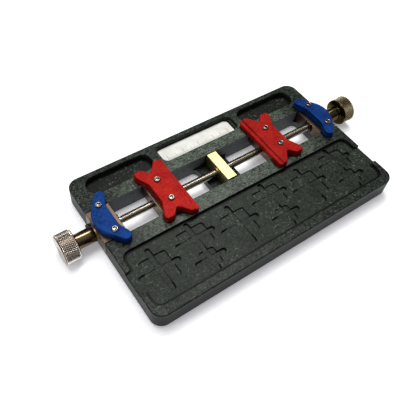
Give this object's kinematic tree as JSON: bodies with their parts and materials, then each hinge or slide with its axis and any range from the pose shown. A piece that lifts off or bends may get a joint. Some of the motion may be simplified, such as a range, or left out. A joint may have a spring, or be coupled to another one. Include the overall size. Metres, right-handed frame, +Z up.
{
  "type": "pcb holder vise",
  "caption": "Flat board holder with a recessed stone-composite base, knurled-knob lead screws and red sliding jaws that grip boards against blue fixed jaws.",
  "frame": {"origin": "centre of the whole object's footprint, on the table under the feet", "axes": "+X along the base towards the right knob, +Y towards the back pockets, +Z up"},
  "size_m": [0.1874, 0.0874, 0.0174],
  "materials": {
    "composite_base": "speckled synthetic stone, machined",
    "rubber_foot": "matt",
    "cream_plate": "satin",
    "pale_brass": "bright",
    "bronze_block": "satin",
    "bush_bronze": "satin",
    "champagne_bronze": "turned and knurled",
    "nickel_rod": "threaded",
    "steel_screw": "bright",
    "black_steel": "black oxide",
    "red_anodised": "anodised, satin",
    "blue_anodised": "anodised, satin"
  },
  "bodies": {
    "base": {"base_plate": "composite_base", "feet": "rubber_foot", "scale_plate": "cream_plate", "centre_block": "pale_brass", "centre_block_screws": "black_steel", "left_end_block": "bronze_block", "left_end_block_screws": "black_steel", "left_outer_bush": "bush_bronze", "left_inner_bush": "bush_bronze", "left_thrust_washer": "bush_bronze", "left_lock_screw": "black_steel", "left_fixed_jaw": "blue_anodised", "left_fixed_jaw_screws": "steel_screw", "right_end_block": "bronze_block", "right_end_block_screws": "black_steel", "right_outer_bush": "bush_bronze", "right_inner_bush": "bush_bronze", "right_thrust_washer": "bush_bronze", "right_lock_screw": "black_steel", "right_fixed_jaw": "blue_anodised", "right_fixed_jaw_screws": "steel_screw"},
    "left_screw": {"left_lead_screw": "nickel_rod", "left_retaining_clip": "black_steel", "left_knob": "champagne_bronze", "left_knob_grub_screw": "black_steel"},
    "left_slide": {"left_nut_block": "bronze_block", "left_sliding_jaw": "red_anodised", "left_sliding_jaw_screws": "steel_screw"},
    "right_screw": {"right_lead_screw": "nickel_rod", "right_retaining_clip": "black_steel", "right_knob": "champagne_bronze", "right_knob_grub_screw": "black_steel"},
    "right_slide": {"right_nut_block": "bronze_block", "right_sliding_jaw": "red_anodised", "right_sliding_jaw_screws": "steel_screw"}
  },
  "joints": [
    {"name": "left_knob_turn", "type": "hinge", "parent": "base", "child": "left_screw", "pos_m": [-0.08, 0.012, 0.0082], "axis": [1, 0, 0], "range_deg": [-11900, 8800]},
    {"name": "left_jaw_slide", "type": "slide", "parent": "base", "child": "left_slide", "axis": [1, 0, 0], "range_m": [-0.0175, 0.0236]},
    {"name": "right_knob_turn", "type": "hinge", "parent": "base", "child": "right_screw", "pos_m": [0.08, 0.012, 0.0082], "axis": [-1, 0, 0], "range_deg": [-11200, 9800]},
    {"name": "right_jaw_slide", "type": "slide", "parent": "base", "child": "right_slide", "axis": [1, 0, 0], "range_m": [-0.0219, 0.0192]}
  ],
  "couplings": [
    {"joint": "left_jaw_slide", "follows": "left_knob_turn", "m_per_rad": -0.00011141},
    {"joint": "right_jaw_slide", "follows": "right_knob_turn", "m_per_rad": 0.00011141}
  ]
}
